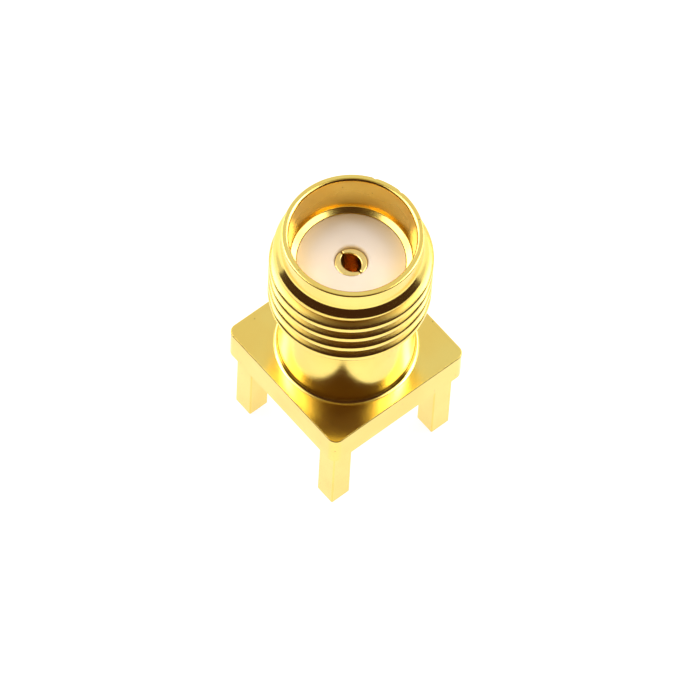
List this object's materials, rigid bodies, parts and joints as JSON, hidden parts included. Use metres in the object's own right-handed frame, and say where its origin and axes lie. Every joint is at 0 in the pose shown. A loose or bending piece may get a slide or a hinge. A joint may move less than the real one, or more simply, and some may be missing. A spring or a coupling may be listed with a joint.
{
  "type": "sma connector",
  "caption": "Straight female coaxial jack for a circuit board: threaded gold-plated barrel on a square flange with solder legs, white insulator and slotted centre contact.",
  "frame": {"origin": "on the barrel's axis, in the plane of the flange's underside where the jack sits on the board", "axes": "+Z along the barrel towards its open socket; the flange's sides run along X and Y"},
  "size_m": [0.0066, 0.0066, 0.0134],
  "materials": {
    "gold_plated_brass": "turned and gold plated, bright",
    "insulator_resin": "turned fluoropolymer, waxy white",
    "gold_plated_contact": "turned, slotted and gold plated"
  },
  "bodies": {
    "root": {"body": "gold_plated_brass", "insulator": "insulator_resin", "centre_contact": "gold_plated_contact"}
  },
  "joints": []
}
